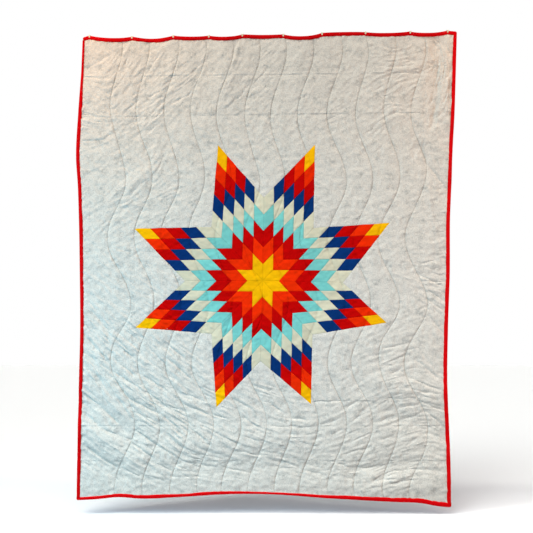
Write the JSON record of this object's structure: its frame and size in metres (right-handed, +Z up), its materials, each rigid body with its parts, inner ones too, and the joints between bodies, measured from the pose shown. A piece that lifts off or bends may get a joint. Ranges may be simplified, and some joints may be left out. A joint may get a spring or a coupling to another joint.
{
  "type": "star quilt blanket with hanging clips",
  "caption": "Padded star quilt blanket hanging face on, with red binding, wavy vertical quilting channels and small clips astride its top edge.",
  "frame": {"origin": "middle of the top edge, where the quilt hangs", "axes": "+X across the quilt to the right as seen from the front, +Y away from the viewer so that the front faces -Y, +Z up"},
  "size_m": [1.8613, 0.0277, 2.3334],
  "materials": {
    "white_quilted_cotton": "matt woven cotton",
    "red_binding_cotton": "matt woven cotton",
    "cream_clip": "smooth moulded"
  },
  "bodies": {
    "root": {"quilt_body": "white_quilted_cotton", "binding_top": "red_binding_cotton", "binding_bottom": "red_binding_cotton", "binding_left": "red_binding_cotton", "binding_right": "red_binding_cotton", "clip_01": "cream_clip", "clip_02": "cream_clip", "clip_03": "cream_clip", "clip_04": "cream_clip", "clip_05": "cream_clip", "clip_06": "cream_clip", "clip_07": "cream_clip", "clip_08": "cream_clip", "clip_09": "cream_clip", "clip_10": "cream_clip"}
  },
  "joints": []
}
